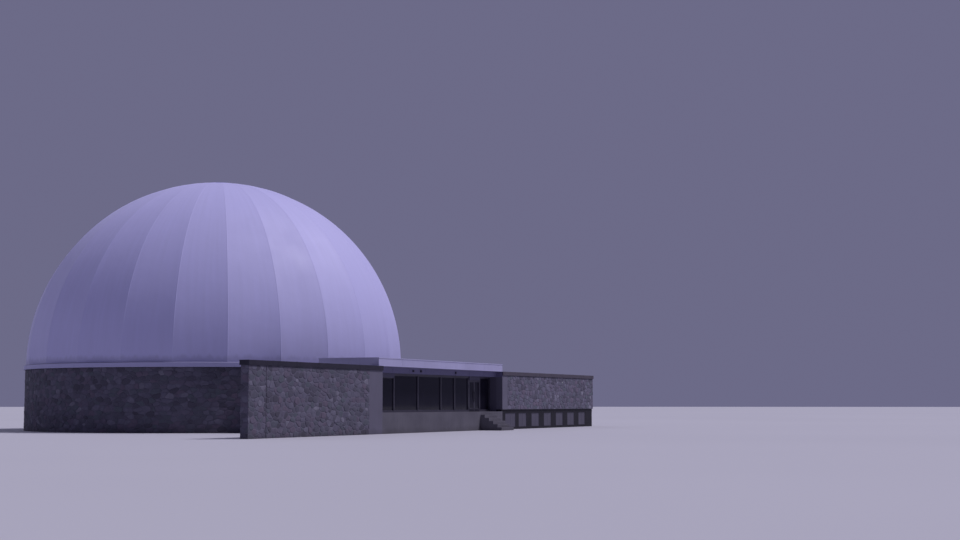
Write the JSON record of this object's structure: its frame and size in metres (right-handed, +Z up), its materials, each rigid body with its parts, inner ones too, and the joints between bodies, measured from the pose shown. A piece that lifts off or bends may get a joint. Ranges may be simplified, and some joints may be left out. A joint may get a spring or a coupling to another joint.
{
  "type": "domed hall with glazed entrance front, 1:2 scale model",
  "caption": "Smooth dome of flat-faced gores on a round stone wall, with a low glazed entrance front between textured walls; the entrance doors swing.",
  "frame": {"origin": "on the ground, under the dome's crown", "axes": "+Z up, +X along the entrance front, to the right of a person who faces it, +Y towards the back"},
  "size_m": [23.595, 15.455, 8.225],
  "materials": {
    "dome_paint": "satin, weathered white paint over gored sheets",
    "stone": "rough mixed-stone facing, grey",
    "render": "smooth grey render",
    "white_paint": "satin white paint",
    "dark_metal": "matt dark flashing and roofing",
    "wing_coping": "matt brownish grey coping",
    "grey_paint": "matt grey paint",
    "frame_paint": "dark satin frame",
    "glass": "dark tinted plate glass",
    "concrete": "cast concrete",
    "pale_panel": "pale flat panel"
  },
  "bodies": {
    "building": {"dome_crown_cap": "dome_paint", "dome_floor": "concrete", "dome_gores_1": "dome_paint", "dome_gores_2": "dome_paint", "dome_gores_3": "dome_paint", "dome_gores_4": "dome_paint", "dome_gores_5": "dome_paint", "dome_gores_6": "dome_paint", "dome_gores_7": "dome_paint", "dome_gores_8": "dome_paint", "drum_wall_1": "stone", "drum_wall_2": "stone", "drum_wall_3": "stone", "drum_wall_4": "stone", "drum_wall_5": "stone", "drum_wall_door_left": "stone", "drum_wall_door_right": "stone", "drum_wall_over_door": "stone", "entrance_steps": "concrete", "front_floor": "concrete", "glass_pane_1": "glass", "glass_pane_2": "glass", "glass_pane_3": "glass", "glass_pane_4": "glass", "glass_pane_5": "glass", "glass_pane_6": "glass", "glazing_frame": "frame_paint", "left_pier": "render", "left_screen_wall": "stone", "left_wall_coping": "dark_metal", "lobby_header": "grey_paint", "lobby_left_wall": "stone", "lobby_low_roof": "dark_metal", "lobby_right_wall": "stone", "lower_frame": "dark_metal", "lower_panels": "pale_panel", "right_back_wall": "stone", "right_end_wall": "stone", "right_front_wall": "stone", "right_pier": "render", "right_return_wall": "stone", "right_wing_coping": "wing_coping", "ring_beam_back_left": "dome_paint", "ring_beam_back_right": "dome_paint", "ring_beam_front_left": "dome_paint", "ring_beam_front_right": "dome_paint", "roof_fascia": "white_paint", "roof_slab": "dark_metal", "wing_roof": "dark_metal"},
    "door_left": {"door_left_frame": "frame_paint", "door_left_glass": "glass"},
    "door_right": {"door_right_frame": "frame_paint", "door_right_glass": "glass"}
  },
  "joints": [
    {"name": "door_left_hinge", "type": "hinge", "parent": "building", "child": "door_left", "pos_m": [2.494, -8.0805, 1.1], "axis": [0, 0, -1], "range_deg": [0, 90]},
    {"name": "door_right_hinge", "type": "hinge", "parent": "building", "child": "door_right", "pos_m": [3.306, -8.0805, 1.1], "axis": [0, 0, 1], "range_deg": [0, 90]}
  ]
}
